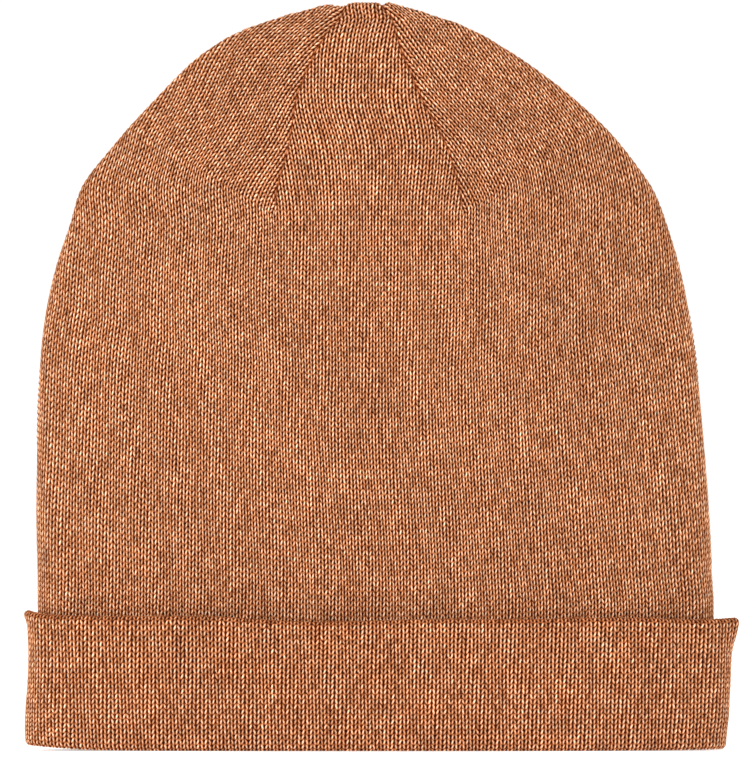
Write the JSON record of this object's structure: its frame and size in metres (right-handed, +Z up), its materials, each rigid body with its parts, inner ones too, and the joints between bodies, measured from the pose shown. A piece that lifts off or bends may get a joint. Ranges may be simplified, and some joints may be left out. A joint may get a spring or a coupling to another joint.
{
  "type": "knitted beanie hat",
  "caption": "Double-layer fine-knit beanie with a turned-up cuff, a dart-shaped crown, a full lining and a small hanging label inside the back.",
  "frame": {"origin": "centre of the hat's footprint, on the plane that the cuff's lower fold stands on", "axes": "+Z up to the crown, +X to the right as the front is seen, the front faces -Y"},
  "size_m": [0.2332, 0.0906, 0.244],
  "materials": {
    "knit_shell": "heathered warm brown wool jersey, knit face outwards",
    "knit_lining": "the same wool jersey, knit face towards the head",
    "knit_cuff": "the lining's face of the same wool jersey, turned up",
    "seam_allowance": "turned-in edge of the jersey, overlocked",
    "sewing_thread": "matching twisted thread, matt",
    "label_ribbon": "plain woven ribbon, satin, blank"
  },
  "bodies": {
    "shell": {"outer_shell": "knit_shell", "inner_lining": "knit_lining", "shell_dart_seam_front_left": "seam_allowance", "shell_dart_seam_front_right": "seam_allowance", "shell_dart_seam_back_left": "seam_allowance", "shell_dart_seam_back_right": "seam_allowance", "shell_dart_seam_side_left": "seam_allowance", "shell_dart_seam_side_right": "seam_allowance", "lining_dart_seam_front_left": "seam_allowance", "lining_dart_seam_front_right": "seam_allowance", "lining_dart_seam_back_left": "seam_allowance", "lining_dart_seam_back_right": "seam_allowance", "lining_dart_seam_side_left": "seam_allowance", "lining_dart_seam_side_right": "seam_allowance", "crown_closing_thread": "sewing_thread", "lining_closing_thread": "sewing_thread", "crown_tack": "sewing_thread", "care_label_stitching": "sewing_thread"},
    "cuff": {"cuff_face": "knit_cuff", "cuff_backing": "knit_shell"},
    "care_label": {"care_label": "label_ribbon"}
  },
  "joints": [
    {"name": "cuff_turn_down", "type": "slide", "parent": "shell", "child": "cuff", "axis": [0, 0, 1], "range_m": [-0.035, 0]},
    {"name": "label_swing", "type": "hinge", "parent": "shell", "child": "care_label", "pos_m": [0, 0.03322, 0.0745], "axis": [1, 0, 0], "range_deg": [-80, 0]}
  ]
}
